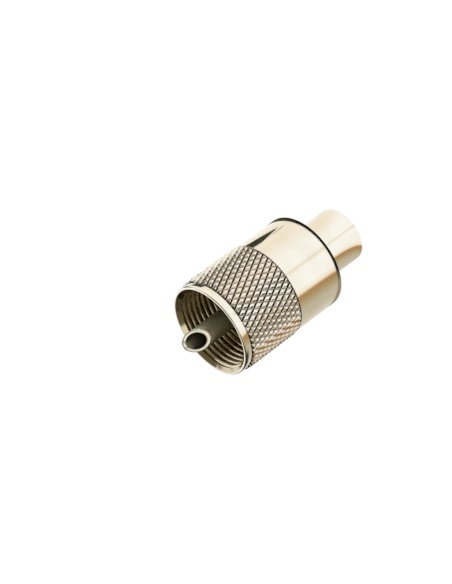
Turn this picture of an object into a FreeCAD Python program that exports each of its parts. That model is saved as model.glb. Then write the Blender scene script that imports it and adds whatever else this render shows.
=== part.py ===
import FreeCAD, Part
import Sketcher
import math
import os

os.makedirs("parts", exist_ok=True)
doc = FreeCAD.newDocument("antenna_plug")

# A threaded coaxial plug that stands on the end of its tail. Z runs along its axis towards the pin.
# All sizes are millimetres, and heights are counted from the end of the tail.

sizes = {
    # Clearances
    "running_gap": 0.05,
    "end_play": 0.03,
    "guide_gap": 0.08,
    "flange_gap": 0.15,
    # Coupling ring. The bore of its thread is the plug's main width, and every other radius
    # is a step or a wall out or in from it.
    "thread_radius": 7.45,
    "knurl_depth": 0.36,
    "knurl_wall": 0.5,
    "knurl_top_share": 0.3,
    "knurl_length": 12.0,
    "knurl_count": 48,
    "knurl_half_rows": 11,
    "ring_rear": 9.4,
    "ring_length": 24.0,
    "ring_rear_chamfer": 0.3,
    "collar_step": 0.18,
    "collar_round": 0.75,
    "lip_step": 0.35,
    "lip_length": 1.5,
    "lip_chamfer": 0.3,
    "mouth_rim": 0.45,
    "mouth_depth": 0.9,
    "thread_wall": 1.7,
    "thread_length": 7.2,
    "relief_depth": 0.6,
    "inner_lip_length": 1.5,
    # Plug body, turned in one piece from the tail to the castellated nose
    "ring_travel": 2.5,
    "flange_thickness": 1.6,
    "flange_chamfer": 0.2,
    "barrel_step": 0.38,
    "barrel_start": 12.2,
    "barrel_top": 16.6,
    "barrel_chamfer": 0.5,
    "waist_step": 0.52,
    "nose_step": 0.3,
    "nose_length": 2.6,
    "nose_chamfer": 0.35,
    "nose_wall": 1.0,
    "notch_width": 2.2,
    "notch_depth": 1.5,
    "tail_step": 1.25,
    "tail_round": 0.6,
    "tail_wall": 1.4,
    "cable_bore_chamfer": 0.2,
    # Insulator and the hollow centre pin
    "insulator_seat": 14.6,
    "insulator_recess": 1.9,
    "insulator_chamfer": 0.3,
    "pin_radius": 2.0,
    "pin_wall": 0.58,
    "pin_shank_step": 0.3,
    "pin_collar_step": 0.9,
    "pin_collar_thickness": 1.3,
    "pin_reach": 4.9,
    "pin_cut_angle": 41,
    # Split ring that holds the coupling ring on the body
    "clip_thickness": 1.4,
    "clip_depth": 1.15,
    "clip_spring_gap": 0.5,
    "clip_split": 1.8,
}

sheet = doc.addObject("Spreadsheet::Sheet", "sizes")
for row, (name, number) in enumerate(sizes.items(), 1):
    sheet.set("A" + str(row), name)
    sheet.set("B" + str(row), str(number))
    sheet.setAlias("B" + str(row), name)
doc.recompute()

# Radii that follow from the sizes, each a sum, from the outside of the ring inwards
knurlCrest = "thread_radius + thread_wall"
collarRadius = knurlCrest + " - collar_step"
lipRadius = knurlCrest + " - lip_step"
mouthRadius = lipRadius + " - mouth_rim"
knurlBed = knurlCrest + " - knurl_depth - knurl_wall"
reliefRadius = "thread_radius + relief_depth"
flangeRadius = "thread_radius - flange_gap"
innerLipRadius = flangeRadius + " + guide_gap"
barrelRadius = flangeRadius + " - barrel_step"
guideRadius = barrelRadius + " + guide_gap"
waistRadius = barrelRadius + " - waist_step"
clipInner = waistRadius + " + running_gap"
clipOuter = clipInner + " + clip_depth"
grooveRadius = clipOuter + " + clip_spring_gap"
noseRadius = waistRadius + " - nose_step"
insulatorRadius = noseRadius + " - nose_wall"
tailRadius = waistRadius + " - tail_step"
cableBore = tailRadius + " - tail_wall"
pinBore = "pin_radius - pin_wall"
pinShank = "pin_radius + pin_shank_step"
pinCollar = "pin_radius + pin_collar_step"

# Heights that follow from the sizes
clipBottom = "barrel_top + end_play"
clipTop = clipBottom + " + clip_thickness"
grooveTop = clipTop + " + end_play"
innerLipTop = grooveTop + " + inner_lip_length"
waistTop = clipTop + " + ring_travel + end_play"
flangeTop = waistTop + " + flange_thickness"
noseTop = flangeTop + " + nose_length"
insulatorTop = noseTop + " - insulator_recess"
collarTop = "insulator_seat + pin_collar_thickness"
ringFront = "ring_rear + ring_length"
knurlFront = ringFront + " - lip_length"
knurlRear = knurlFront + " - knurl_length"
threadFront = ringFront + " - mouth_depth"
threadRear = threadFront + " - thread_length"
pinTip = ringFront + " + pin_reach"


def value(name):
    return float(getattr(sheet, name))


def amount(text):
    total = 0.0
    sign = 1.0
    for word in text.split():
        if word == "+":
            sign = 1.0
        elif word == "-":
            sign = -1.0
        elif word in sizes:
            total = total + sign * value(word)
        else:
            total = total + sign * float(word)
    return total


def formula(text):
    return " ".join("sizes." + word if word in sizes else word for word in text.split())


def bind(sketch, kind, geometry, point, text):
    # Holds one coordinate of a sketch point at a sum of sizes. Nought means on the sketch's own axis.
    if text == "0":
        axis = -1 if kind == "DistanceY" else -2
        sketch.addConstraint(Sketcher.Constraint("PointOnObject", geometry, point, axis))
        return
    index = sketch.addConstraint(Sketcher.Constraint(kind, -1, 1, geometry, point, amount(text)))
    sketch.setExpression("Constraints[" + str(index) + "]", formula(text))


def newBody(name):
    body = doc.addObject("PartDesign::Body", name)
    body.Label = name
    return body


def newSketch(body, name, role):
    sketch = body.newObject("Sketcher::SketchObject", name)
    plane = [item for item in body.Origin.OriginFeatures if item.Role == role][0]
    sketch.AttachmentSupport = [(plane, "")]
    sketch.MapMode = "FlatFace"
    return sketch


def drawProfile(sketch, corners):
    # Closed outline through corners of (across, up). A corner with two more entries starts
    # a quarter round about that centre.
    spots = [FreeCAD.Vector(amount(corner[0]), amount(corner[1]), 0) for corner in corners]
    starts = []
    ends = []
    for number, corner in enumerate(corners):
        here = spots[number]
        there = spots[(number + 1) % len(spots)]
        if len(corner) == 2:
            geometry = sketch.addGeometry(Part.LineSegment(here, there), False)
            starts.append((geometry, 1))
            ends.append((geometry, 2))
            continue
        centre = FreeCAD.Vector(amount(corner[2]), amount(corner[3]), 0)
        angles = [math.atan2(spot.y - centre.y, spot.x - centre.x) for spot in (here, there)]
        counterClockwise = (angles[1] - angles[0]) % (2 * math.pi) < math.pi
        if not counterClockwise:
            angles.reverse()
        circle = Part.Circle(centre, FreeCAD.Vector(0, 0, 1), (here - centre).Length)
        geometry = sketch.addGeometry(Part.ArcOfCircle(circle, angles[0], angles[1]), False)
        starts.append((geometry, 1 if counterClockwise else 2))
        ends.append((geometry, 2 if counterClockwise else 1))
    for number in range(len(corners)):
        following = (number + 1) % len(corners)
        sketch.addConstraint(Sketcher.Constraint("Coincident", *ends[number], *starts[following]))
    for number, corner in enumerate(corners):
        bind(sketch, "DistanceX", starts[number][0], starts[number][1], corner[0])
        bind(sketch, "DistanceY", starts[number][0], starts[number][1], corner[1])
        if len(corner) == 4:
            bind(sketch, "DistanceX", starts[number][0], 3, corner[2])


def turn(body, name, corners):
    # A turned piece: half of its section, spun about the upright axis
    sketch = newSketch(body, name + "_section", "XZ_Plane")
    drawProfile(sketch, corners)
    feature = body.newObject("PartDesign::Revolution", name + "_turning")
    feature.Profile = sketch
    feature.ReferenceAxis = (sketch, ["V_Axis"])
    feature.Angle = 360
    body.Tip = feature
    doc.recompute()
    return feature


def drawLoop(sketch, spots):
    for number, spot in enumerate(spots):
        sketch.addGeometry(Part.LineSegment(spot, spots[(number + 1) % len(spots)]), False)
    for number in range(len(spots)):
        following = (number + 1) % len(spots)
        sketch.addConstraint(Sketcher.Constraint("Coincident", number, 2, following, 1))


def slotOutline(body, name, role, widthName, lowText, highText):
    # A rectangle as wide as the named size, evenly about the upright axis
    sketch = newSketch(body, name, role)
    half = value(widthName) / 2
    low = amount(lowText)
    high = amount(highText)
    corners = [(-half, low), (half, low), (half, high), (-half, high)]
    drawLoop(sketch, [FreeCAD.Vector(across, up, 0) for across, up in corners])
    sketch.addConstraint(Sketcher.Constraint("Vertical", 1))
    sketch.addConstraint(Sketcher.Constraint("Horizontal", 2))
    sketch.addConstraint(Sketcher.Constraint("Vertical", 3))
    sketch.addConstraint(Sketcher.Constraint("Symmetric", 0, 1, 0, 2, -2))
    width = sketch.addConstraint(Sketcher.Constraint("DistanceX", 0, 1, 0, 2, 2 * half))
    sketch.setExpression("Constraints[" + str(width) + "]", "sizes." + widthName)
    bind(sketch, "DistanceY", 0, 1, lowText)
    bind(sketch, "DistanceY", 2, 1, highText)
    return sketch


def cutAcross(body, name, sketch, widthText):
    # Cuts the sketch's outline right across the piece, evenly to both sides of the sketch
    volume = body.Shape.Volume
    feature = body.newObject("PartDesign::Pocket", name)
    feature.Profile = sketch
    feature.Type = "Length"
    feature.SideType = "Symmetric"
    feature.setExpression("Length", formula(widthText))
    body.Tip = feature
    doc.recompute()
    if body.Shape.Volume > volume - 0.5:
        raise RuntimeError(name + " cut nothing")
    return feature


# Plug body: tail, barrel, narrow waist, flange and nose, with the cable's bore and the
# insulator's wider bore inside
plugBody = newBody("plug_body")
turn(plugBody, "plug_body", [
    (cableBore + " + cable_bore_chamfer", "0"),
    (tailRadius + " - tail_round", "0", tailRadius + " - tail_round", "tail_round"),
    (tailRadius, "tail_round"),
    (tailRadius, "barrel_start"),
    (barrelRadius + " - barrel_chamfer", "barrel_start"),
    (barrelRadius, "barrel_start + barrel_chamfer"),
    (barrelRadius, "barrel_top"),
    (waistRadius, "barrel_top"),
    (waistRadius, waistTop),
    (flangeRadius, waistTop),
    (flangeRadius, flangeTop + " - flange_chamfer"),
    (flangeRadius + " - flange_chamfer", flangeTop),
    (noseRadius, flangeTop),
    (noseRadius, noseTop + " - nose_chamfer"),
    (noseRadius + " - nose_chamfer", noseTop),
    (insulatorRadius, noseTop),
    (insulatorRadius, "insulator_seat"),
    (cableBore, "insulator_seat"),
    (cableBore, "cable_bore_chamfer"),
])

# Four notches across the nose, cut as two slots at right angles
notchSketch = slotOutline(plugBody, "notch_outline", "YZ_Plane", "notch_width",
                          noseTop + " - notch_depth", noseTop + " + notch_depth")
notch = cutAcross(plugBody, "notch_pair", notchSketch, flangeRadius + " + " + flangeRadius)
beforePattern = plugBody.Shape.Volume
notches = plugBody.newObject("PartDesign::PolarPattern", "notches")
notches.Originals = [notch]
notches.Axis = (notchSketch, ["V_Axis"])
notches.Angle = 90
notches.Occurrences = 2
plugBody.Tip = notches
doc.recompute()
if plugBody.Shape.Volume > beforePattern - 0.5:
    raise RuntimeError("the second pair of notches cut nothing")

# Insulator: a plain sleeve that holds the pin, with a wider pocket for the pin's collar
insulator = newBody("insulator")
turn(insulator, "insulator", [
    (pinCollar, "insulator_seat"),
    (insulatorRadius, "insulator_seat"),
    (insulatorRadius, insulatorTop + " - insulator_chamfer"),
    (insulatorRadius + " - insulator_chamfer", insulatorTop),
    (pinShank, insulatorTop),
    (pinShank, collarTop),
    (pinCollar, collarTop),
])

# Centre pin: a hollow tube with a collar and a thicker shank in the insulator, its open tip cut
# off at a slant
centrePin = newBody("centre_pin")
turn(centrePin, "centre_pin", [
    (pinBore, "insulator_seat"),
    (pinCollar, "insulator_seat"),
    (pinCollar, collarTop),
    (pinShank, collarTop),
    (pinShank, insulatorTop),
    ("pin_radius", insulatorTop),
    ("pin_radius", pinTip),
    (pinBore, pinTip),
])
tipSketch = newSketch(centrePin, "tip_cut", "YZ_Plane")
tipSide = value("pin_radius")
tipLeft = -2 * value("pin_radius")
tipTop = amount(pinTip + " + pin_radius")
tipLow = amount(pinTip) + (tipLeft - tipSide) * math.tan(math.radians(value("pin_cut_angle")))
tipCorners = [
    FreeCAD.Vector(tipSide, amount(pinTip), 0),
    FreeCAD.Vector(tipLeft, tipLow, 0),
    FreeCAD.Vector(tipLeft, tipTop, 0),
    FreeCAD.Vector(tipSide, tipTop, 0),
]
drawLoop(tipSketch, tipCorners)
tipSketch.addConstraint(Sketcher.Constraint("Vertical", 1))
tipSketch.addConstraint(Sketcher.Constraint("Horizontal", 2))
tipSketch.addConstraint(Sketcher.Constraint("Vertical", 3))
bind(tipSketch, "DistanceX", 0, 1, "pin_radius")
bind(tipSketch, "DistanceY", 0, 1, pinTip)
bind(tipSketch, "DistanceX", 2, 1, "0 - pin_radius - pin_radius")
bind(tipSketch, "DistanceY", 2, 1, pinTip + " + pin_radius")
slant = tipSketch.addConstraint(
    Sketcher.Constraint("Angle", 0, 2, 1, 1, math.radians(90 - value("pin_cut_angle"))))
tipSketch.setExpression("Constraints[" + str(slant) + "]", "90 deg - sizes.pin_cut_angle * 1 deg")
cutAcross(centrePin, "slanted_tip", tipSketch, "pin_radius + pin_radius + pin_radius")

# Retaining clip: a square-section ring, split at the back so that it springs into its groove
retainingClip = newBody("retaining_clip")
turn(retainingClip, "retaining_clip", [
    (clipInner, clipBottom),
    (clipOuter, clipBottom),
    (clipOuter, clipTop),
    (clipInner, clipTop),
])
splitSketch = slotOutline(retainingClip, "clip_split_outline", "XZ_Plane", "clip_split",
                          "barrel_top", clipTop + " + end_play")
clipVolume = retainingClip.Shape.Volume
split = retainingClip.newObject("PartDesign::Pocket", "clip_split")
split.Profile = splitSketch
split.Type = "Length"
split.Reversed = False
split.setExpression("Length", formula(clipOuter + " + clip_split"))
retainingClip.Tip = split
doc.recompute()
behind = Part.Vertex(0, amount(clipOuter), amount(clipBottom))
if retainingClip.Shape.distToShape(behind)[0] < value("clip_split") / 4:
    split.Reversed = True
    doc.recompute()
if retainingClip.Shape.Volume > clipVolume - 0.5:
    raise RuntimeError("the clip's split cut nothing")

# Coupling ring blank: mouth chamfer, thread bore, relief, inner lip, clip groove and guide bore,
# with a shallow bed outside for the knurled band
ringBlank = newBody("ring_blank")
turn(ringBlank, "ring_blank", [
    (guideRadius + " + ring_rear_chamfer", "ring_rear"),
    (collarRadius + " - collar_round", "ring_rear", collarRadius + " - collar_round", "ring_rear + collar_round"),
    (collarRadius, "ring_rear + collar_round"),
    (collarRadius, knurlRear),
    (knurlBed, knurlRear),
    (knurlBed, knurlFront),
    (lipRadius, knurlFront),
    (lipRadius, ringFront + " - lip_chamfer"),
    (lipRadius + " - lip_chamfer", ringFront),
    (mouthRadius, ringFront),
    ("thread_radius", threadFront),
    ("thread_radius", threadRear),
    (reliefRadius, threadRear),
    (reliefRadius, innerLipTop),
    (innerLipRadius, innerLipTop),
    (innerLipRadius, grooveTop),
    (grooveRadius, grooveTop),
    (grooveRadius, "barrel_top"),
    (guideRadius, "barrel_top"),
    (guideRadius, "ring_rear + ring_rear_chamfer"),
])


def knurlBand():
    # A sleeve whose outside is a lattice of raised, flat-topped diamonds between two families of
    # crossing grooves. The half diamonds at both rims lie level with the grooves.
    count = int(round(value("knurl_count")))
    steps = int(round(value("knurl_half_rows")))
    crest = amount(knurlCrest)
    root = crest - value("knurl_depth")
    inner = (amount(knurlBed) + amount(reliefRadius)) / 2
    share = value("knurl_top_share")
    low = amount(knurlRear)
    high = amount(knurlFront)

    def spot(place, step, radius):
        angle = math.pi * place / count
        height = low + (high - low) * step / steps
        return FreeCAD.Vector(radius * math.cos(angle), radius * math.sin(angle), height)

    def triangle(one, two, three):
        return Part.Face(Part.makePolygon([one, two, three, one]))

    def diamond(place, step):
        around = [(1, 0), (0, 1), (-1, 0), (0, -1)]
        feet = [spot(place + across, step + up, root) for across, up in around]
        tops = [spot(place + share * across, step + share * up, crest) for across, up in around]
        faces = [triangle(tops[0], tops[1], tops[3]), triangle(tops[1], tops[2], tops[3])]
        for index in range(4):
            after = (index + 1) % 4
            faces.append(triangle(feet[index], feet[after], tops[index]))
            faces.append(triangle(feet[after], tops[after], tops[index]))
        return faces

    faces = []
    for step in range(steps + 1):
        for place in range((step + 1) % 2, 2 * count, 2):
            if 0 < step < steps:
                faces += diamond(place, step)
                continue
            inward = step + 1 if step == 0 else step - 1
            middle = spot(place, step, root)
            peak = spot(place, inward, root)
            faces.append(triangle(spot(place - 1, step, root), middle, peak))
            faces.append(triangle(middle, spot(place + 1, step, root), peak))
    for step in (0, steps):
        rim = [spot(place, step, root) for place in range(2 * count)]
        outline = Part.makePolygon(rim + [rim[0]])
        hole = Part.Wire(Part.makeCircle(inner, FreeCAD.Vector(0, 0, rim[0].z)))
        faces.append(Part.makeFace([outline, hole], "Part::FaceMakerBullseye"))
    wall = Part.makeCylinder(inner, high - low, FreeCAD.Vector(0, 0, low))
    faces.append([face for face in wall.Faces if isinstance(face.Surface, Part.Cylinder)][0])
    shell = Part.makeShell(faces)
    shell.sewShape()
    solid = Part.makeSolid(shell.Shells[0] if shell.ShapeType == "Compound" else shell)
    if solid.Volume < 0:
        solid.reverse()
    return solid


band = doc.addObject("Part::Feature", "knurl_band")
band.Label = "knurl_band"
band.Shape = knurlBand()
couplingRing = doc.addObject("Part::Fuse", "coupling_ring")
couplingRing.Label = "coupling_ring"
couplingRing.Base = ringBlank
couplingRing.Tool = band
couplingRing.Refine = False
doc.recompute()

nodes = [plugBody, insulator, centrePin, retainingClip, couplingRing]
for item in doc.Objects:
    if "Invalid" in item.State or "Error" in item.State:
        raise RuntimeError(item.Label + " did not build")
for node in nodes:
    if node.Shape.isNull() or not node.Shape.isValid() or len(node.Shape.Solids) != 1:
        raise RuntimeError(node.Label + " is not one sound solid")
for node in nodes:
    node.Shape.exportStep("parts/" + node.Label + ".step")
    box = node.Shape.BoundBox
    print(node.Label, round(node.Shape.Volume, 1), "mm3, z", round(box.ZMin, 2), "to", round(box.ZMax, 2),
          "faces", len(node.Shape.Faces))
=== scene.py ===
import bpy
import math
from mathutils import Matrix, Vector


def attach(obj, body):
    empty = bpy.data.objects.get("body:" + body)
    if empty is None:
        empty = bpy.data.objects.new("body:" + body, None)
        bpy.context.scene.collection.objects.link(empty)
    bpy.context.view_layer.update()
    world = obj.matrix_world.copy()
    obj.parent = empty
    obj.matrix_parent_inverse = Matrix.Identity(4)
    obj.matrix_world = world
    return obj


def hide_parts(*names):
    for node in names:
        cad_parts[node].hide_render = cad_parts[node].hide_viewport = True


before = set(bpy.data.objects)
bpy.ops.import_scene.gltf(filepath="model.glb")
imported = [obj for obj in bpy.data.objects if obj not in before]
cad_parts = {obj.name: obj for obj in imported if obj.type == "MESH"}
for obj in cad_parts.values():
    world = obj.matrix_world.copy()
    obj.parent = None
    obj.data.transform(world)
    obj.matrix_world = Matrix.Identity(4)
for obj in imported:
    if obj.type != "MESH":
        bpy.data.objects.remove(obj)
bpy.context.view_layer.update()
print("frame loaded")

# Sizes below are millimetres, and heights are counted from the end of the tail
mm = 0.001
turnSides = 208
fineSides = 96
mergeDistance = 0.001


# Small helpers

def deselectAll():
    if bpy.context.object and bpy.context.object.mode != "OBJECT":
        bpy.ops.object.mode_set(mode="OBJECT")
    bpy.ops.object.select_all(action="DESELECT")


def makeActive(piece):
    deselectAll()
    piece.select_set(True)
    bpy.context.view_layer.objects.active = piece


def editAll(piece, mode="VERT"):
    makeActive(piece)
    bpy.ops.object.mode_set(mode="EDIT")
    bpy.ops.mesh.select_mode(type=mode)
    bpy.ops.mesh.select_all(action="SELECT")


def leaveEdit():
    bpy.ops.object.mode_set(mode="OBJECT")


def softened(corners, steps=5):
    # corners are (radius, height) or (radius, height, round), and a round becomes a short run of
    # points that takes at most a share of the runs beside it
    sideShare = 0.48
    points = []
    count = len(corners)
    for index, corner in enumerate(corners):
        here = Vector((corner[0], corner[1]))
        size = corner[2] if len(corner) > 2 else 0
        if not size:
            points.append(here)
            continue
        before = Vector(corners[index - 1][:2]) - here
        after = Vector(corners[(index + 1) % count][:2]) - here
        half = before.angle(after) / 2
        reach = min(size / math.tan(half), before.length * sideShare, after.length * sideShare)
        size = reach * math.tan(half)
        middle = here + (before.normalized() + after.normalized()).normalized() * (size / math.sin(half))
        first = here + before.normalized() * reach - middle
        last = here + after.normalized() * reach - middle
        sweep = first.angle_signed(last)
        for step in range(steps + 1):
            turned = first.copy()
            turned.rotate(Matrix.Rotation(-sweep * step / steps, 2))
            points.append(middle + turned)
    return points


def turnedPiece(name, corners, sides=turnSides, closed=True):
    # a ring of edges is extruded from point to point of the section, as on a lathe
    points = softened(corners)
    deselectAll()
    bpy.ops.mesh.primitive_circle_add(
        vertices=sides, radius=points[0].x * mm, fill_type="NOTHING", location=(0, 0, points[0].y * mm))
    piece = bpy.context.object
    piece.name = name
    piece.data.name = name
    bpy.ops.object.transform_apply(location=True, rotation=True, scale=True)
    editAll(piece, "EDGE")
    route = points[1:] + ([points[0]] if closed else [])
    last = points[0]
    for point in route:
        bpy.ops.mesh.extrude_region_move(TRANSFORM_OT_translate={"value": (0, 0, (point.y - last.y) * mm)})
        grow = point.x / last.x
        bpy.ops.transform.resize(value=(grow, grow, 1), center_override=(0, 0, point.y * mm))
        last = point
    bpy.ops.mesh.select_all(action="SELECT")
    bpy.ops.mesh.remove_doubles(threshold=mergeDistance * mm)
    bpy.ops.mesh.normals_make_consistent(inside=False)
    leaveEdit()
    return piece


def applyBoolean(piece, cutter, operation):
    makeActive(piece)
    modifier = piece.modifiers.new("shape", "BOOLEAN")
    modifier.operation = operation
    modifier.object = cutter
    modifier.solver = "EXACT"
    bpy.ops.object.modifier_apply(modifier=modifier.name)
    bpy.data.objects.remove(cutter)


def smoothByAngle(piece, degrees=32):
    makeActive(piece)
    bpy.ops.object.shade_smooth_by_angle(angle=math.radians(degrees))


def joinPieces(main, others):
    deselectAll()
    for other in others:
        other.select_set(True)
    main.select_set(True)
    bpy.context.view_layer.objects.active = main
    bpy.ops.object.join()
    return main


def boxPiece(low, high):
    deselectAll()
    middle = [(a + b) / 2 * mm for a, b in zip(low, high)]
    bpy.ops.mesh.primitive_cube_add(size=1, location=middle)
    cube = bpy.context.object
    cube.scale = [(b - a) * mm for a, b in zip(low, high)]
    bpy.ops.object.transform_apply(location=True, rotation=True, scale=True)
    return cube


# Materials

def linear(hexText):
    values = [int(hexText[i:i + 2], 16) / 255 for i in (1, 3, 5)]
    return tuple(v / 12.92 if v <= 0.04045 else ((v + 0.055) / 1.055) ** 2.4 for v in values) + (1.0,)


def addNode(tree, kind, settings=None, links=None):
    # settings gives attributes or inputs their values, and links gives inputs an output socket
    node = tree.nodes.new(kind)
    for key, value in (settings or {}).items():
        if isinstance(key, int) or key in node.inputs:
            node.inputs[key].default_value = value
        else:
            setattr(node, key, value)
    for key, socket in (links or {}).items():
        tree.links.new(socket, node.inputs[key])
    return node


def multiplied(tree, first, second):
    return addNode(tree, "ShaderNodeMath", {"operation": "MULTIPLY"}, {0: first, 1: second}).outputs[0]


def larger(tree, first, second):
    return addNode(tree, "ShaderNodeMath", {"operation": "MAXIMUM"}, {0: first, 1: second}).outputs[0]


def ramped(tree, socket, start, end, low=0.0, high=1.0):
    return addNode(tree, "ShaderNodeMapRange", {
        "From Min": start, "From Max": end, "To Min": low, "To Max": high,
    }, {"Value": socket}).outputs[0]


def rising(tree, socket, size, soft):
    # 0 below a size and 1 above it, running over twice the soft width
    return ramped(tree, socket, (size - soft) * mm, (size + soft) * mm)


def falling(tree, socket, size, soft):
    return ramped(tree, socket, (size - soft) * mm, (size + soft) * mm, 1.0, 0.0)


def blended(tree, factor, colour, otherHex):
    # from a colour socket to a fixed colour
    return addNode(tree, "ShaderNodeMix", {"data_type": "RGBA", 7: linear(otherHex)},
                   {"Factor": factor, 6: colour}).outputs[2]


def newMaterial(name):
    material = bpy.data.materials.new(name)
    material.use_nodes = True
    material.node_tree.nodes.clear()
    return material, material.node_tree


def finishMaterial(tree, shader):
    addNode(tree, "ShaderNodeOutputMaterial", links={"Surface": shader.outputs[0]})


def finishMetal(tree, colour, roughness):
    finishMaterial(tree, addNode(tree, "ShaderNodeBsdfPrincipled", {"Metallic": 1.0},
                                 {"Base Color": colour, "Roughness": roughness}))


def fromAxis(tree, place):
    # the point's offset from the piece's axis, and its distance from it
    across = addNode(tree, "ShaderNodeVectorMath", {"operation": "MULTIPLY", 1: (1, 1, 0)},
                     {0: place.outputs["Object"]}).outputs["Vector"]
    radius = addNode(tree, "ShaderNodeVectorMath", {"operation": "LENGTH"}, {0: across}).outputs["Value"]
    return across, radius


def upOf(tree, vector):
    return addNode(tree, "ShaderNodeSeparateXYZ", links={"Vector": vector}).outputs["Z"]


# Nickel plate on turned and polished brass. It gives the eye a warm, nearly white mirror with a slight
# cloudiness. Surfaces within a given radius and above a given height get a darker, warmer colour as
# painted shade, and their own roughness.
nickelLook = {
    "colour": "#f5efe0", "paleColour": "#f9f6ec", "roughness": 0.1,
    "cloudScale": 260.0, "cloudDetail": 3.0, "cloudSpan": (0.35, 0.7),
    "radiusSoft": 0.04, "heightSoft": 0.1,
}


def cloudyNickel(tree, place):
    cloud = addNode(tree, "ShaderNodeTexNoise", {
        "Scale": nickelLook["cloudScale"], "Detail": nickelLook["cloudDetail"],
    }, {"Vector": place.outputs["Object"]})
    tone = addNode(tree, "ShaderNodeValToRGB", links={"Fac": cloud.outputs["Fac"]})
    colours = (nickelLook["colour"], nickelLook["paleColour"])
    for stop, position, colour in zip(tone.color_ramp.elements, nickelLook["cloudSpan"], colours):
        stop.position = position
        stop.color = linear(colour)
    return tone.outputs["Color"]


def nickelPlatedBrass(name, shadedBores, grooveShaded=False):
    # the surfaces nearer to the axis than a radius and above a start get a darker colour as painted shade
    material, tree = newMaterial(name)
    place = addNode(tree, "ShaderNodeTexCoord")
    radius = fromAxis(tree, place)[1]
    height = upOf(tree, place.outputs["Object"])
    inside = multiplied(tree, falling(tree, radius, shadedBores["radius"], nickelLook["radiusSoft"]),
                        rising(tree, height, shadedBores["start"], nickelLook["heightSoft"]))
    # painted shade: the inner surfaces are blended to a darker colour
    colour = blended(tree, inside, cloudyNickel(tree, place), shadedBores["colour"])
    # the knurl's grooves get painted shade
    if grooveShaded:
        colour = blended(tree, shadeInKnurlGrooves(tree, place), colour, knurlGrooveShade["colour"])
    roughness = ramped(tree, inside, 0.0, 1.0, nickelLook["roughness"], shadedBores["roughness"])
    finishMetal(tree, colour, roughness)
    return material


def dress(piece, material, body, node):
    piece.data.materials.clear()
    piece.data.materials.append(material)
    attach(piece, body)
    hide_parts(node)


# Plug body

bodySizes = {
    "tailRadius": 5.15, "tailRound": 0.6, "boreRadius": 3.75,
    "barrelRadius": 6.92, "barrelStart": 12.2, "barrelTop": 16.6,
    "waistRadius": 6.4, "waistTop": 20.56,
    "flangeRadius": 7.3, "flangeTop": 22.16,
    "noseRadius": 6.1, "noseTop": 24.76, "noseBore": 5.1,
    "notchWidth": 2.2, "notchDepth": 1.5, "insulatorSeat": 14.6,
    "boreChamfer": 0.2, "barrelChamfer": 0.5, "fineRound": 0.1, "barrelRound": 0.08,
    "flangeRound": 0.18, "noseRound": 0.3,
}
# the body is painted darker as painted shade, and is rougher, all through above the tail, where the ring
# surrounds it
bodyInsideShade = {"colour": "#cbc3ab", "roughness": 0.3, "radius": 20.0, "start": 12.0}


def makePlugBody():
    s = bodySizes
    piece = turnedPiece("plugBody", [
        (s["boreRadius"] + s["boreChamfer"], 0),
        (s["tailRadius"], 0, s["tailRound"]),
        (s["tailRadius"], s["barrelStart"]),
        (s["barrelRadius"] - s["barrelChamfer"], s["barrelStart"], s["fineRound"]),
        (s["barrelRadius"], s["barrelStart"] + s["barrelChamfer"], s["fineRound"]),
        (s["barrelRadius"], s["barrelTop"], s["barrelRound"]),
        (s["waistRadius"], s["barrelTop"]),
        (s["waistRadius"], s["waistTop"]),
        (s["flangeRadius"], s["waistTop"], s["fineRound"]),
        (s["flangeRadius"], s["flangeTop"], s["flangeRound"]),
        (s["noseRadius"], s["flangeTop"]),
        (s["noseRadius"], s["noseTop"], s["noseRound"]),
        (s["noseBore"], s["noseTop"], s["fineRound"]),
        (s["noseBore"], s["insulatorSeat"]),
        (s["boreRadius"], s["insulatorSeat"]),
        (s["boreRadius"], s["boreChamfer"]),
    ])
    # two boxes across the nose cut its four notches
    low = s["noseTop"] - s["notchDepth"]
    high = s["noseTop"] + s["notchDepth"]
    half = s["notchWidth"] / 2
    past = s["noseRadius"] + s["notchWidth"]
    for wide, deep in ((past, half), (half, past)):
        applyBoolean(piece, boxPiece((-wide, -deep, low), (wide, deep, high)), "DIFFERENCE")
    smoothByAngle(piece)
    nickel = nickelPlatedBrass("nickel-plated brass body", bodyInsideShade)
    dress(piece, nickel, "plug", "plug_body")


makePlugBody()
print("plug body made")


# Insulator

# Phenolic resin. It gives the eye a dark brown ground with a slight sheen, deep in the mouth.
insulatorSizes = {
    "radius": bodySizes["noseBore"], "bottom": bodySizes["insulatorSeat"], "top": 22.86, "topRound": 0.25,
    "collarRadius": 2.9, "collarTop": 15.9, "shank": 2.3,
    "colour": "#2c2118", "roughness": 0.42, "indexOfRefraction": 1.6,
}


def phenolicResin():
    s = insulatorSizes
    material, tree = newMaterial("phenolic resin")
    finishMaterial(tree, addNode(tree, "ShaderNodeBsdfPrincipled", {
        "Base Color": linear(s["colour"]), "Roughness": s["roughness"], "IOR": s["indexOfRefraction"],
    }))
    return material


def makeInsulator():
    s = insulatorSizes
    piece = turnedPiece("insulatorSleeve", [
        (s["collarRadius"], s["bottom"]),
        (s["radius"], s["bottom"]),
        (s["radius"], s["top"], s["topRound"]),
        (s["shank"], s["top"]),
        (s["shank"], s["collarTop"]),
        (s["collarRadius"], s["collarTop"]),
    ], sides=fineSides)
    smoothByAngle(piece)
    dress(piece, phenolicResin(), "plug", "insulator")


makeInsulator()
print("insulator made")


# Centre pin

pinSizes = {"radius": 2.0, "bore": 1.42, "tip": 38.3, "cutAngle": 41, "edgeBevel": 0.09}
# Nickel plate whose wall is painted a plain grey as painted shade and made rough, without mirrored shapes,
# and whose bore is painted darker still as painted shade. The cut rim stands out bright.
pinLook = {
    "wallShadeColour": "#aaa78c", "boreShadeColour": "#6d6a57", "wallRoughness": 0.55, "rimRoughness": 0.22,
    "rimDepth": 0.6, "rimSoft": 0.2,
}


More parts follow.
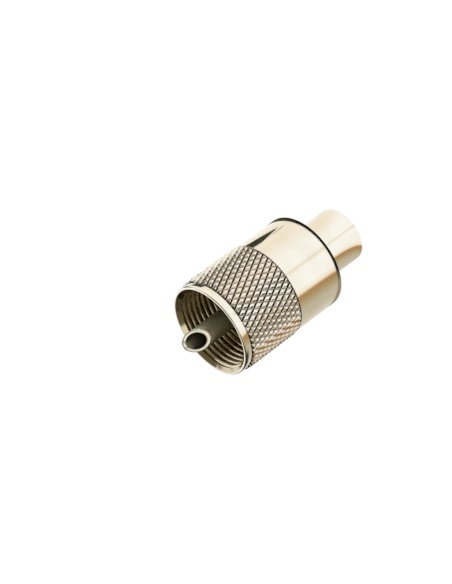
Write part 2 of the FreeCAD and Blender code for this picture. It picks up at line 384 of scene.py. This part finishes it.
def shadedPinNickel():
    material, tree = newMaterial("nickel-plated brass pin")
    place = addNode(tree, "ShaderNodeTexCoord")
    # how far a point lies along the slanted cut's normal
    slope = math.radians(pinSizes["cutAngle"])
    rise = addNode(tree, "ShaderNodeVectorMath", {
        "operation": "DOT_PRODUCT", 1: (0, -math.sin(slope), math.cos(slope)),
    }, {0: place.outputs["Object"]}).outputs["Value"]
    cut = pinSizes["tip"] * math.cos(slope) - pinSizes["radius"] * math.sin(slope)
    wall = falling(tree, rise, cut - pinLook["rimDepth"], pinLook["rimSoft"])
    soft = nickelLook["radiusSoft"]
    bore = falling(tree, fromAxis(tree, place)[1], pinSizes["bore"] + soft, soft)
    # painted shade on the wall and, darker, in the bore
    colour = blended(tree, wall, cloudyNickel(tree, place), pinLook["wallShadeColour"])
    colour = blended(tree, bore, colour, pinLook["boreShadeColour"])
    roughness = ramped(tree, wall, 0.0, 1.0, pinLook["rimRoughness"], pinLook["wallRoughness"])
    finishMetal(tree, colour, roughness)
    return material


def makeCentrePin():
    # its collar and shank fill the insulator's
    s = pinSizes
    i = insulatorSizes
    piece = turnedPiece("pinTube", [
        (s["bore"], i["bottom"]),
        (i["collarRadius"], i["bottom"]),
        (i["collarRadius"], i["collarTop"]),
        (i["shank"], i["collarTop"]),
        (i["shank"], i["top"]),
        (s["radius"], i["top"]),
        (s["radius"], s["tip"]),
        (s["bore"], s["tip"]),
    ], sides=fineSides)
    # the open tip is cut at a slant and its two edges are joined by a flat rim
    slope = math.radians(s["cutAngle"])
    editAll(piece)
    bpy.ops.mesh.bisect(
        plane_co=(0, s["radius"] * mm, s["tip"] * mm), plane_no=(0, -math.sin(slope), math.cos(slope)),
        use_fill=False, clear_outer=True)
    bpy.ops.mesh.select_all(action="DESELECT")
    bpy.ops.mesh.select_non_manifold(extend=False, use_wire=False, use_boundary=True,
                                     use_multi_face=False, use_non_contiguous=False, use_verts=False)
    bpy.ops.mesh.bridge_edge_loops()
    bpy.ops.mesh.select_all(action="SELECT")
    bpy.ops.mesh.normals_make_consistent(inside=False)
    leaveEdit()
    modifier = piece.modifiers.new("edge", "BEVEL")
    modifier.width = s["edgeBevel"] * mm
    modifier.segments = 3
    modifier.limit_method = "ANGLE"
    modifier.angle_limit = math.radians(40)
    makeActive(piece)
    bpy.ops.object.modifier_apply(modifier=modifier.name)
    smoothByAngle(piece, 40)
    dress(piece, shadedPinNickel(), "plug", "centre_pin")


makeCentrePin()
print("centre pin made")


# Retaining clip

# Spring steel, bright drawn wire left plain. It gives the eye a neutral grey with a broad sheen.
clipSizes = {
    "inner": 6.45, "outer": 7.6, "bottom": 16.63, "top": 18.03, "split": 1.8, "edgeRound": 0.1,
    "sides": 128, "colour": "#b9b8b4", "roughness": 0.3,
}


def springSteel():
    material, tree = newMaterial("spring steel")
    finishMaterial(tree, addNode(tree, "ShaderNodeBsdfPrincipled", {
        "Metallic": 1.0, "Base Color": linear(clipSizes["colour"]), "Roughness": clipSizes["roughness"],
    }))
    return material


def makeRetainingClip():
    s = clipSizes
    piece = turnedPiece("splitClip", [
        (s["inner"], s["bottom"], s["edgeRound"]),
        (s["outer"], s["bottom"], s["edgeRound"]),
        (s["outer"], s["top"], s["edgeRound"]),
        (s["inner"], s["top"], s["edgeRound"]),
    ], sides=s["sides"])
    half = s["split"] / 2
    low, high = (-half, 0, s["bottom"] - half), (half, s["outer"] + half, s["top"] + half)
    applyBoolean(piece, boxPiece(low, high), "DIFFERENCE")
    smoothByAngle(piece)
    dress(piece, springSteel(), "clip", "retaining_clip")


makeRetainingClip()
print("retaining clip made")


# Coupling ring

ringSizes = {
    "rear": 9.4, "front": 33.4,
    "collarRadius": 8.97, "collarRound": 0.75, "shoulderRound": 0.05,
    "lipRadius": 8.8, "lipLength": 1.5, "lipRound": 0.3, "lipRearRound": 0.12,
    "knurlLength": 12.0, "knurlCount": 48, "knurlRows": 5.5, "knurlRoot": 8.79, "knurlCrest": 9.15,
    "knurlBed": 8.29, "knurlInner": 8.17, "topShare": 0.3,
    "mouthRadius": 8.35, "mouthRound": 0.08, "mouthDepth": 0.9,
    "threadCrest": 7.45, "threadRoot": 7.96, "threadPitch": 1.058, "threadLength": 7.2,
    "reliefRadius": 8.05, "reliefBottom": 19.56, "innerLip": 7.38,
    "grooveRadius": 8.1, "grooveBottom": 16.6, "grooveTop": 18.06, "guideRadius": 7.0, "guideRound": 0.2,
}
# the ring's bore, thread and other surfaces near the axis are painted darker as painted shade, and are a
# little rougher
ringBoreShade = {"colour": "#d8ccae", "roughness": 0.13, "radius": 8.42, "start": 0.0}
# Painted shade between the knurl's diamonds draws their lines. It reaches from the band's foot to just
# under the tops, and the walls that lean to one hand get all of it while the others get a share.
knurlGrooveShade = {
    "colour": "#110e0a", "foot": 8.47, "footSoft": 0.03, "top": 8.91, "topSoft": 0.04, "endSoft": 0.01,
    "lighterHandShare": 0.45, "handSoft": 0.0002,
}
# One tooth of the thread. Its root is sunk into the bore and is a share of the pitch wide, and its
# crest is a share of the root. The ridge is trimmed to a room that passes the thread on both sides.
toothShape = {
    "sunk": 0.1, "rootShare": 0.96, "crestShare": 0.3, "cornerBevel": 0.15, "stepsPerTurn": 120,
    "roomInside": 0.2, "roomOutside": 0.3,
}


# painted shade in the knurl's grooves
def shadeInKnurlGrooves(tree, place):
    t = knurlGrooveShade
    across, radius = fromAxis(tree, place)
    height = upOf(tree, place.outputs["Object"])
    front = ringSizes["front"] - ringSizes["lipLength"]
    rear = front - ringSizes["knurlLength"]
    inBand = multiplied(tree, rising(tree, height, rear, t["endSoft"]),
                        falling(tree, height, front, t["endSoft"]))
    inDepth = multiplied(tree, rising(tree, radius, t["foot"], t["footSoft"]),
                         falling(tree, radius, t["top"], t["topSoft"]))
    # both walls of a groove lean to the same hand
    around = addNode(tree, "ShaderNodeVectorMath", {"operation": "CROSS_PRODUCT", 0: (0, 0, 1)},
                     {1: across})
    lean = addNode(tree, "ShaderNodeVectorMath", {"operation": "DOT_PRODUCT"},
                   {0: around.outputs["Vector"], 1: place.outputs["Normal"]})
    hand = multiplied(tree, lean.outputs["Value"], upOf(tree, place.outputs["Normal"]))
    # walls leaning to the other hand get only a share of the painted shade
    share = ramped(tree, hand, -t["handSoft"], t["handSoft"], t["lighterHandShare"], 1.0)
    return multiplied(tree, multiplied(tree, inBand, inDepth), share)


def makeRingBlank():
    s = ringSizes
    knurlFront = s["front"] - s["lipLength"]
    knurlRear = knurlFront - s["knurlLength"]
    threadFront = s["front"] - s["mouthDepth"]
    threadRear = threadFront - s["threadLength"]
    rootDepth = s["mouthRadius"] - s["threadRoot"]
    return turnedPiece("ringBlank", [
        (s["guideRadius"], s["rear"], s["guideRound"]),
        (s["collarRadius"], s["rear"], s["collarRound"]),
        (s["collarRadius"], knurlRear, s["shoulderRound"]),
        (s["knurlBed"], knurlRear),
        (s["knurlBed"], knurlFront),
        (s["lipRadius"], knurlFront, s["lipRearRound"]),
        (s["lipRadius"], s["front"], s["lipRound"]),
        (s["mouthRadius"], s["front"], s["mouthRound"]),
        (s["threadRoot"], s["front"] - rootDepth),
        (s["threadRoot"], threadRear),
        (s["reliefRadius"], threadRear),
        (s["reliefRadius"], s["reliefBottom"]),
        (s["innerLip"], s["reliefBottom"]),
        (s["innerLip"], s["grooveTop"]),
        (s["grooveRadius"], s["grooveTop"]),
        (s["grooveRadius"], s["grooveBottom"]),
        (s["guideRadius"], s["grooveBottom"]),
    ])


def makeKnurlBand():
    # a tube of upright cells is poked, and the old edges are dissolved, which leaves diamonds, and
    # each is then inset and raised to a flat top
    s = ringSizes
    top = s["front"] - s["lipLength"]
    bottom = top - s["knurlLength"]
    row = s["knurlLength"] / s["knurlRows"]
    corners = [(s["knurlRoot"], bottom + row * index) for index in range(math.ceil(s["knurlRows"]) + 1)]
    band = turnedPiece("knurlBand", corners, sides=s["knurlCount"], closed=False)
    oldPoints = len(band.data.vertices)
    editAll(band, "FACE")
    bpy.ops.mesh.poke()
    bpy.ops.mesh.select_all(action="DESELECT")
    leaveEdit()
    rims = (bottom * mm, corners[-1][1] * mm)
    for edge in band.data.edges:
        ends = [band.data.vertices[index].co.z for index in edge.vertices]
        atRim = any(max(abs(end - rim) for end in ends) < mergeDistance * mm for rim in rims)
        edge.select = max(edge.vertices) < oldPoints and not atRim
    bpy.ops.object.mode_set(mode="EDIT")
    bpy.ops.mesh.select_mode(type="EDGE")
    bpy.ops.mesh.dissolve_edges(use_verts=False)
    bpy.ops.mesh.select_all(action="SELECT")
    bpy.ops.mesh.bisect(plane_co=(0, 0, top * mm), plane_no=(0, 0, 1), use_fill=False, clear_outer=True)
    bpy.ops.mesh.select_all(action="DESELECT")
    leaveEdit()
    for face in band.data.polygons:
        face.select = True
    halfWide = math.pi * s["knurlRoot"] / s["knurlCount"]
    inRadius = halfWide * row / 2 / math.hypot(halfWide, row / 2)
    bpy.ops.object.mode_set(mode="EDIT")
    bpy.ops.mesh.select_mode(type="FACE")
    bpy.ops.mesh.inset(thickness=(1 - s["topShare"]) * inRadius * mm,
                       depth=(s["knurlCrest"] - s["knurlRoot"]) * mm,
                       use_individual=True, use_even_offset=True)
    bpy.ops.mesh.select_all(action="DESELECT")
    bpy.ops.mesh.select_mode(type="EDGE")
    bpy.ops.mesh.select_non_manifold(extend=False, use_wire=False, use_boundary=True,
                                     use_multi_face=False, use_non_contiguous=False, use_verts=False)
    # both open rims are drawn in under the blank's surface and joined by an inner wall
    shrink = s["knurlInner"] / s["knurlRoot"]
    bpy.ops.mesh.extrude_region_move(TRANSFORM_OT_translate={"value": (0, 0, 0)})
    bpy.ops.transform.resize(value=(shrink, shrink, 1), center_override=(0, 0, 0))
    bpy.ops.mesh.bridge_edge_loops()
    bpy.ops.mesh.select_all(action="SELECT")
    bpy.ops.mesh.normals_make_consistent(inside=False)
    leaveEdit()
    return band


def makeThreadRidge():
    # one tooth's outline is swept along the helix, and what stands past the mouth's bevel is cut off
    s = ringSizes
    t = toothShape
    pitch = s["threadPitch"]
    top = s["front"] - s["mouthDepth"]
    bottom = top - s["threadLength"]
    deselectAll()
    bpy.ops.mesh.primitive_plane_add(size=1, rotation=(math.radians(90), 0, 0))
    ridge = bpy.context.object
    ridge.name = "threadRidge"
    bpy.ops.object.transform_apply(location=True, rotation=True, scale=True)
    editAll(ridge)
    depth = s["threadRoot"] + t["sunk"] - s["threadCrest"]
    middle = s["threadCrest"] + depth / 2
    bpy.ops.transform.resize(value=(depth * mm, 1, pitch * t["rootShare"] * mm), center_override=(0, 0, 0))
    bpy.ops.transform.translate(value=(middle * mm, 0, (bottom - pitch) * mm))
    bpy.ops.mesh.select_all(action="DESELECT")
    leaveEdit()
    for point in ridge.data.vertices:
        point.select = point.co.x < middle * mm
    bpy.ops.object.mode_set(mode="EDIT")
    bpy.ops.transform.resize(value=(1, 1, t["crestShare"]), center_override=(0, 0, (bottom - pitch) * mm))
    bpy.ops.mesh.bevel(offset=t["cornerBevel"] * mm, segments=3, affect="VERTICES")
    leaveEdit()
    modifier = ridge.modifiers.new("helix", "SCREW")
    modifier.axis = "Z"
    modifier.screw_offset = pitch * mm
    modifier.iterations = int(s["threadLength"] / pitch) + 3  # more than the bore is long
    modifier.steps = t["stepsPerTurn"]
    modifier.render_steps = t["stepsPerTurn"]
    modifier.use_merge_vertices = True
    modifier.merge_threshold = mergeDistance / 2 * mm
    makeActive(ridge)
    bpy.ops.object.modifier_apply(modifier=modifier.name)
    editAll(ridge)
    bpy.ops.mesh.select_all(action="DESELECT")
    bpy.ops.mesh.select_non_manifold(extend=False, use_wire=False, use_boundary=True,
                                     use_multi_face=False, use_non_contiguous=False, use_verts=False)
    bpy.ops.mesh.fill_holes(sides=0)
    bpy.ops.mesh.select_all(action="SELECT")
    bpy.ops.mesh.normals_make_consistent(inside=False)
    leaveEdit()
    inner = s["threadCrest"] - t["roomInside"]
    outer = s["threadRoot"] + t["roomOutside"]
    bevelFoot = s["front"] - s["mouthRadius"]  # the bevel's height where its radius would be none
    room = turnedPiece("threadRoom", [
        (inner, bottom), (outer, bottom), (outer, bevelFoot + outer), (inner, bevelFoot + inner),
    ], sides=t["stepsPerTurn"])
    applyBoolean(ridge, room, "INTERSECT")
    return ridge


def makeCouplingRing():
    blank = makeRingBlank()
    band = makeKnurlBand()
    ridge = makeThreadRidge()
    smoothByAngle(blank)
    smoothByAngle(ridge, 25)
    ring = joinPieces(blank, [band, ridge])
    ring.name = "couplingRing"
    ring.data.name = "couplingRing"
    nickel = nickelPlatedBrass("nickel-plated brass ring", ringBoreShade, grooveShaded=True)
    dress(ring, nickel, "ring", "coupling_ring")


makeCouplingRing()
print("coupling ring made")


# Floor, cards, light and camera

studio = {
    "floorSize": 6000, "floorDrop": 0.02,
    "floorColour": "#ffffff", "floorGlow": 0.9, "floorMatt": (0.16, 0.16, 0.16, 1),
    "worldLight": 0.9,
    "keyPlace": (-72, -108, 270), "keyAim": (0, 0, 15), "keyPower": 0.028, "keySize": 100,
    "lens": 138.26, "sensor": 36, "clip": (10, 20000),
    "cameraPlace": (95.97, -324.58, 214.42),
    "cameraAhead": (-0.2385, 0.8408, -0.4860), "cameraUp": (0.8551, -0.0555, -0.5155),
}

# Cards that only the metal mirrors, which paint its light and dark reflections. Tones are directions seen
# from above, in degrees, each with the colour that the card has there.
cards = {
    "floorFrom": 4, "farFrom": 68, "floorTo": 220,
    "floorHeight": 0.01, "farHeight": 0.04, "shapeHeight": 0.03,
    # the olive and brown tones of the two floor cards are a painted shadow of the plug, which its lower
    # side mirrors
    "floorTones": [
        (-180, "#c9c3b3"), (-157, "#c3baa5"), (-141, "#b3a27e"), (-133, "#ad8f63"), (-127, "#b98c58"),
        (-123, "#f6ecdc"), (-112, "#ffffff"), (-80, "#ffffff"), (-75, "#f1e7d8"), (-70, "#ffffff"),
        (-45, "#ffffff"), (-5, "#f8efe1"), (30, "#f7f1e6"), (70, "#ffffff"), (150, "#dedad0"),
        (180, "#c9c3b3"),
    ],
    "farTones": [
        (-180, "#3a3729"), (-172, "#3a3729"), (-156, "#c3baa5"), (-141, "#b3a27e"), (-133, "#ad8f63"),
        (-127, "#b98c58"), (-123, "#f6ecdc"), (-112, "#ffffff"), (48, "#f9f4ea"), (64, "#3a3729"),
        (180, "#3a3729"),
    ],
    "wallRadius": 200, "wallBottom": 2, "wallMiddle": 95, "wallTop": 200,
    "lowWallTones": [
        (-180, "#1d1b16"), (-152, "#1d1b16"), (-130, "#f4e2d5"), (-98, "#f4e2d5"), (-78, "#b2a99a"),
        (-40, "#b2a99a"), (-22, "#ffffff"), (32, "#ffffff"), (42, "#1d1b16"), (58, "#1d1b16"),
        (67, "#ffffff"), (100, "#ffffff"), (112, "#1d1b16"), (180, "#1d1b16"),
    ],
    "highWallTones": [
        (-180, "#4f4a3c"), (-108, "#4f4a3c"), (-90, "#ffffff"), (-38, "#ffffff"), (-22, "#6b6354"),
        (30, "#6b6354"), (44, "#ffffff"), (126, "#ffffff"), (142, "#4f4a3c"), (180, "#4f4a3c"),
    ],
    # a dark card under the ring's rear end, as painted shade there, which the ring's rounded edge mirrors
    # as a dark line
    "edgeFrom": 5.6, "edgeTo": 10.9, "edgeHeight": 8.6,
    "edgeTones": [
        (-180, "#9a927c"), (-130, "#9a927c"), (-108, "#1d1b16"), (-20, "#1d1b16"), (20, "#4a4538"),
        (60, "#9a927c"), (180, "#9a927c"),
    ],
    # cards whose reflections paint the collar's dark streak and its thin brown line
    "wedgeColour": "#3a3729",
    "wedgeCorners": [(23.4, 10.7), (39.6, 12.4), (62, 27), (180, 85), (120, 170), (36, 51), (30.5, 26)],
    "stripColour": "#6a5644",
    "stripCorners": [(23.0, 6.6), (29.5, 8.6), (29.7, 9.6), (23.2, 7.5)],
    # a dark card overhead, whose reflection paints the mouth's inside darker, cut back between two
    # directions
    "overColour": "#6f6953", "overHeight": 300, "overRadius": 360, "overShort": 150,
    "overStep": 22.5, "overCut": (45, 90),
}


def whiteWhereSeen(tree, otherwise, white):
    # one level for the rays that look at a thing or mirror it, and another for the light
    path = addNode(tree, "ShaderNodeLightPath")
    seen = larger(tree, path.outputs["Is Camera Ray"], path.outputs["Is Glossy Ray"])
    seen = larger(tree, seen, path.outputs["Is Transmission Ray"])
    return ramped(tree, seen, 0.0, 1.0, otherwise, white)


def makeFloor():
    deselectAll()
    size = studio["floorSize"] * mm
    bpy.ops.mesh.primitive_plane_add(size=size, location=(0, 0, -studio["floorDrop"] * mm))
    floor = bpy.context.object
    floor.name = "paleFloor"
    material, tree = newMaterial("pale studio floor")
    glow = addNode(tree, "ShaderNodeEmission", {"Color": linear(studio["floorColour"])},
                   {"Strength": whiteWhereSeen(tree, 0.0, studio["floorGlow"])})
    matt = addNode(tree, "ShaderNodeBsdfDiffuse", {"Color": studio["floorMatt"]})
    both = addNode(tree, "ShaderNodeAddShader", links={0: matt.outputs[0], 1: glow.outputs[0]})
    finishMaterial(tree, both)
    floor.data.materials.append(material)


def makeWorld():
    world = bpy.data.worlds.new("studio")
    bpy.context.scene.world = world
    world.use_nodes = True
    tree = world.node_tree
    tree.nodes.clear()
    glow = addNode(tree, "ShaderNodeBackground", {"Color": (1, 1, 1, 1)},
                   {"Strength": whiteWhereSeen(tree, studio["worldLight"], 1.0)})
    addNode(tree, "ShaderNodeOutputWorld", links={"Surface": glow.outputs[0]})


def hangCard(card, material):
    card.data.materials.append(material)
    card.visible_camera = False
    card.visible_diffuse = False
    card.visible_shadow = False


def shapedCard(name, corners, height, colour):
    deselectAll()
    bpy.ops.mesh.primitive_circle_add(vertices=len(corners), radius=mm, fill_type="NGON")
    card = bpy.context.object
    card.name = name
    for point, (across, along) in zip(card.data.vertices, corners):
        point.co = Vector((across, along, height)) * mm
    material, tree = newMaterial(name)
    finishMaterial(tree, addNode(tree, "ShaderNodeEmission", {"Color": linear(colour), "Strength": 1.0}))
    hangCard(card, material)


def tonedCard(name, near, far, tones):
    # a ring of card from one (radius, height) to another, whose colour changes with the direction
    card = turnedPiece(name, [near, far], sides=fineSides, closed=False)
    material, tree = newMaterial(name)
    place = addNode(tree, "ShaderNodeTexCoord")
    turn = addNode(tree, "ShaderNodeTexGradient", {"gradient_type": "RADIAL"},
                   {"Vector": place.outputs["Object"]})
    tone = addNode(tree, "ShaderNodeValToRGB", links={"Fac": turn.outputs["Fac"]})
    stops = tone.color_ramp.elements
    while len(stops) < len(tones):
        stops.new(0.5)
    # every stop is placed before any is coloured, because a stop that moves can change places
    for stop, (degrees, colour) in zip(stops, tones):
        stop.position = degrees / 360 + 0.5
    for stop, (degrees, colour) in zip(stops, tones):
        stop.color = linear(colour)
    glow = addNode(tree, "ShaderNodeEmission", {"Strength": 1.0}, {"Color": tone.outputs["Color"]})
    finishMaterial(tree, glow)
    hangCard(card, material)


def makeCards():
    c = cards
    wall, flat, far, edge = c["wallRadius"], c["floorHeight"], c["farHeight"], c["edgeHeight"]
    tonedCard("floorTones", (c["floorFrom"], flat), (c["floorTo"], flat), c["floorTones"])
    tonedCard("farFloor", (c["farFrom"], far), (c["floorTo"], far), c["farTones"])
    tonedCard("lowWall", (wall, c["wallBottom"]), (wall, c["wallMiddle"]), c["lowWallTones"])
    tonedCard("highWall", (wall, c["wallMiddle"]), (wall, c["wallTop"]), c["highWallTones"])
    tonedCard("edgeShadeCard", (c["edgeFrom"], edge), (c["edgeTo"], edge), c["edgeTones"])
    shapedCard("darkCard", c["wedgeCorners"], c["shapeHeight"], c["wedgeColour"])
    shapedCard("redLine", c["stripCorners"], c["shapeHeight"], c["stripColour"])
    corners = []
    for step in range(round(360 / c["overStep"])):
        degrees = step * c["overStep"]
        reach = c["overShort"] if c["overCut"][0] <= degrees <= c["overCut"][1] else c["overRadius"]
        turn = math.radians(degrees)
        corners.append((reach * math.cos(turn), reach * math.sin(turn)))
    shapedCard("overCard", corners, c["overHeight"], c["overColour"])


def makeKeyLamp():
    data = bpy.data.lights.new("softKey", "AREA")
    data.energy = studio["keyPower"]
    data.size = studio["keySize"] * mm
    lamp = bpy.data.objects.new("softKey", data)
    bpy.context.scene.collection.objects.link(lamp)
    place = Vector(studio["keyPlace"]) * mm
    lamp.location = place
    lamp.rotation_mode = "QUATERNION"
    lamp.rotation_quaternion = (Vector(studio["keyAim"]) * mm - place).to_track_quat("-Z", "Y")


def makeCamera():
    # Looks down on the plug from beside the low side of its pin, and is rolled so that the pin
    # points to the picture's lower left
    data = bpy.data.cameras.new("photoCamera")
    camera = bpy.data.objects.new("photoCamera", data)
    bpy.context.scene.collection.objects.link(camera)
    data.lens = studio["lens"]
    data.sensor_width = studio["sensor"]
    data.clip_start, data.clip_end = [distance * mm for distance in studio["clip"]]
    camera.location = Vector(studio["cameraPlace"]) * mm
    ahead = Vector(studio["cameraAhead"]).normalized()
    up = Vector(studio["cameraUp"])
    up = (up - ahead * up.dot(ahead)).normalized()
    turn = Matrix((ahead.cross(up), up, -ahead)).transposed()
    camera.rotation_mode = "QUATERNION"
    camera.rotation_quaternion = turn.to_quaternion()
    bpy.context.scene.camera = camera


makeFloor()
makeWorld()
makeCards()
makeKeyLamp()
makeCamera()
bpy.context.scene.view_settings.view_transform = "Standard"
print("studio made")
